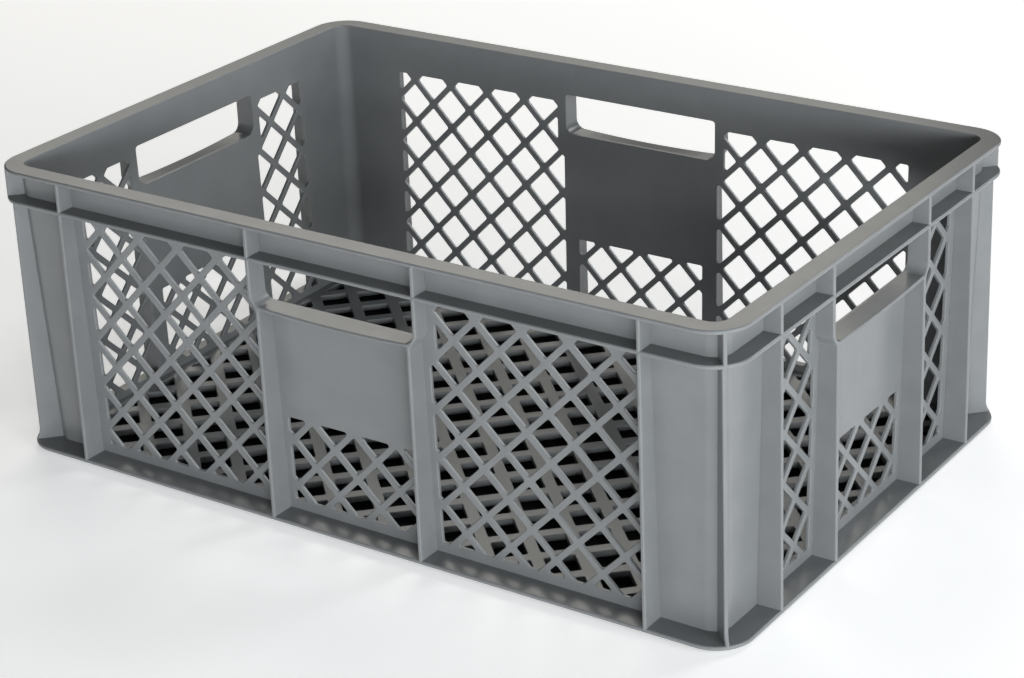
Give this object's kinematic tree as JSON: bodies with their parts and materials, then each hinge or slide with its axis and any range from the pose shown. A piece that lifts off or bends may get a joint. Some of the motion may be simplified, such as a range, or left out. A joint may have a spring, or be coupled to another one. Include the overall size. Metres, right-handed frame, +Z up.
{
  "type": "perforated stacking crate",
  "caption": "Rigid open-top rectangular crate with diamond-lattice walls and floor, a flanged rim, outer ribs and a hand-hold in each wall.",
  "frame": {"origin": "middle of the footprint, on the surface that the foot stands on", "axes": "+X along the length, +Y along the width from the front wall to the back wall, +Z up"},
  "size_m": [0.6, 0.4, 0.22],
  "materials": {
    "grey_plastic": "satin moulded, mid grey"
  },
  "bodies": {
    "root": {"back_handle_lip": "grey_plastic", "back_handle_panel": "grey_plastic", "back_lattice_left": "grey_plastic", "back_lattice_right": "grey_plastic", "back_rib_1": "grey_plastic", "back_rib_2": "grey_plastic", "back_rib_3": "grey_plastic", "back_rib_4": "grey_plastic", "back_upper_band": "grey_plastic", "base_flange_back": "grey_plastic", "base_flange_front": "grey_plastic", "base_flange_left": "grey_plastic", "base_flange_right": "grey_plastic", "base_grid": "grey_plastic", "corner_rib_back_left": "grey_plastic", "corner_rib_back_right": "grey_plastic", "corner_rib_front_left": "grey_plastic", "corner_rib_front_right": "grey_plastic", "corner_wall_back_left": "grey_plastic", "corner_wall_back_right": "grey_plastic", "corner_wall_front_left": "grey_plastic", "corner_wall_front_right": "grey_plastic", "front_handle_lip": "grey_plastic", "front_handle_panel": "grey_plastic", "front_lattice_left": "grey_plastic", "front_lattice_right": "grey_plastic", "front_rib_1": "grey_plastic", "front_rib_2": "grey_plastic", "front_rib_3": "grey_plastic", "front_rib_4": "grey_plastic", "front_upper_band": "grey_plastic", "left_handle_lip": "grey_plastic", "left_handle_panel": "grey_plastic", "left_lattice_left": "grey_plastic", "left_lattice_right": "grey_plastic", "left_rib_1": "grey_plastic", "left_rib_2": "grey_plastic", "left_rib_3": "grey_plastic", "left_rib_4": "grey_plastic", "left_upper_band": "grey_plastic", "mid_flange_back": "grey_plastic", "mid_flange_front": "grey_plastic", "mid_flange_left": "grey_plastic", "mid_flange_right": "grey_plastic", "right_handle_lip": "grey_plastic", "right_handle_panel": "grey_plastic", "right_lattice_left": "grey_plastic", "right_lattice_right": "grey_plastic", "right_rib_1": "grey_plastic", "right_rib_2": "grey_plastic", "right_rib_3": "grey_plastic", "right_rib_4": "grey_plastic", "right_upper_band": "grey_plastic", "rim_back": "grey_plastic", "rim_front": "grey_plastic", "rim_left": "grey_plastic", "rim_right": "grey_plastic"}
  },
  "joints": []
}
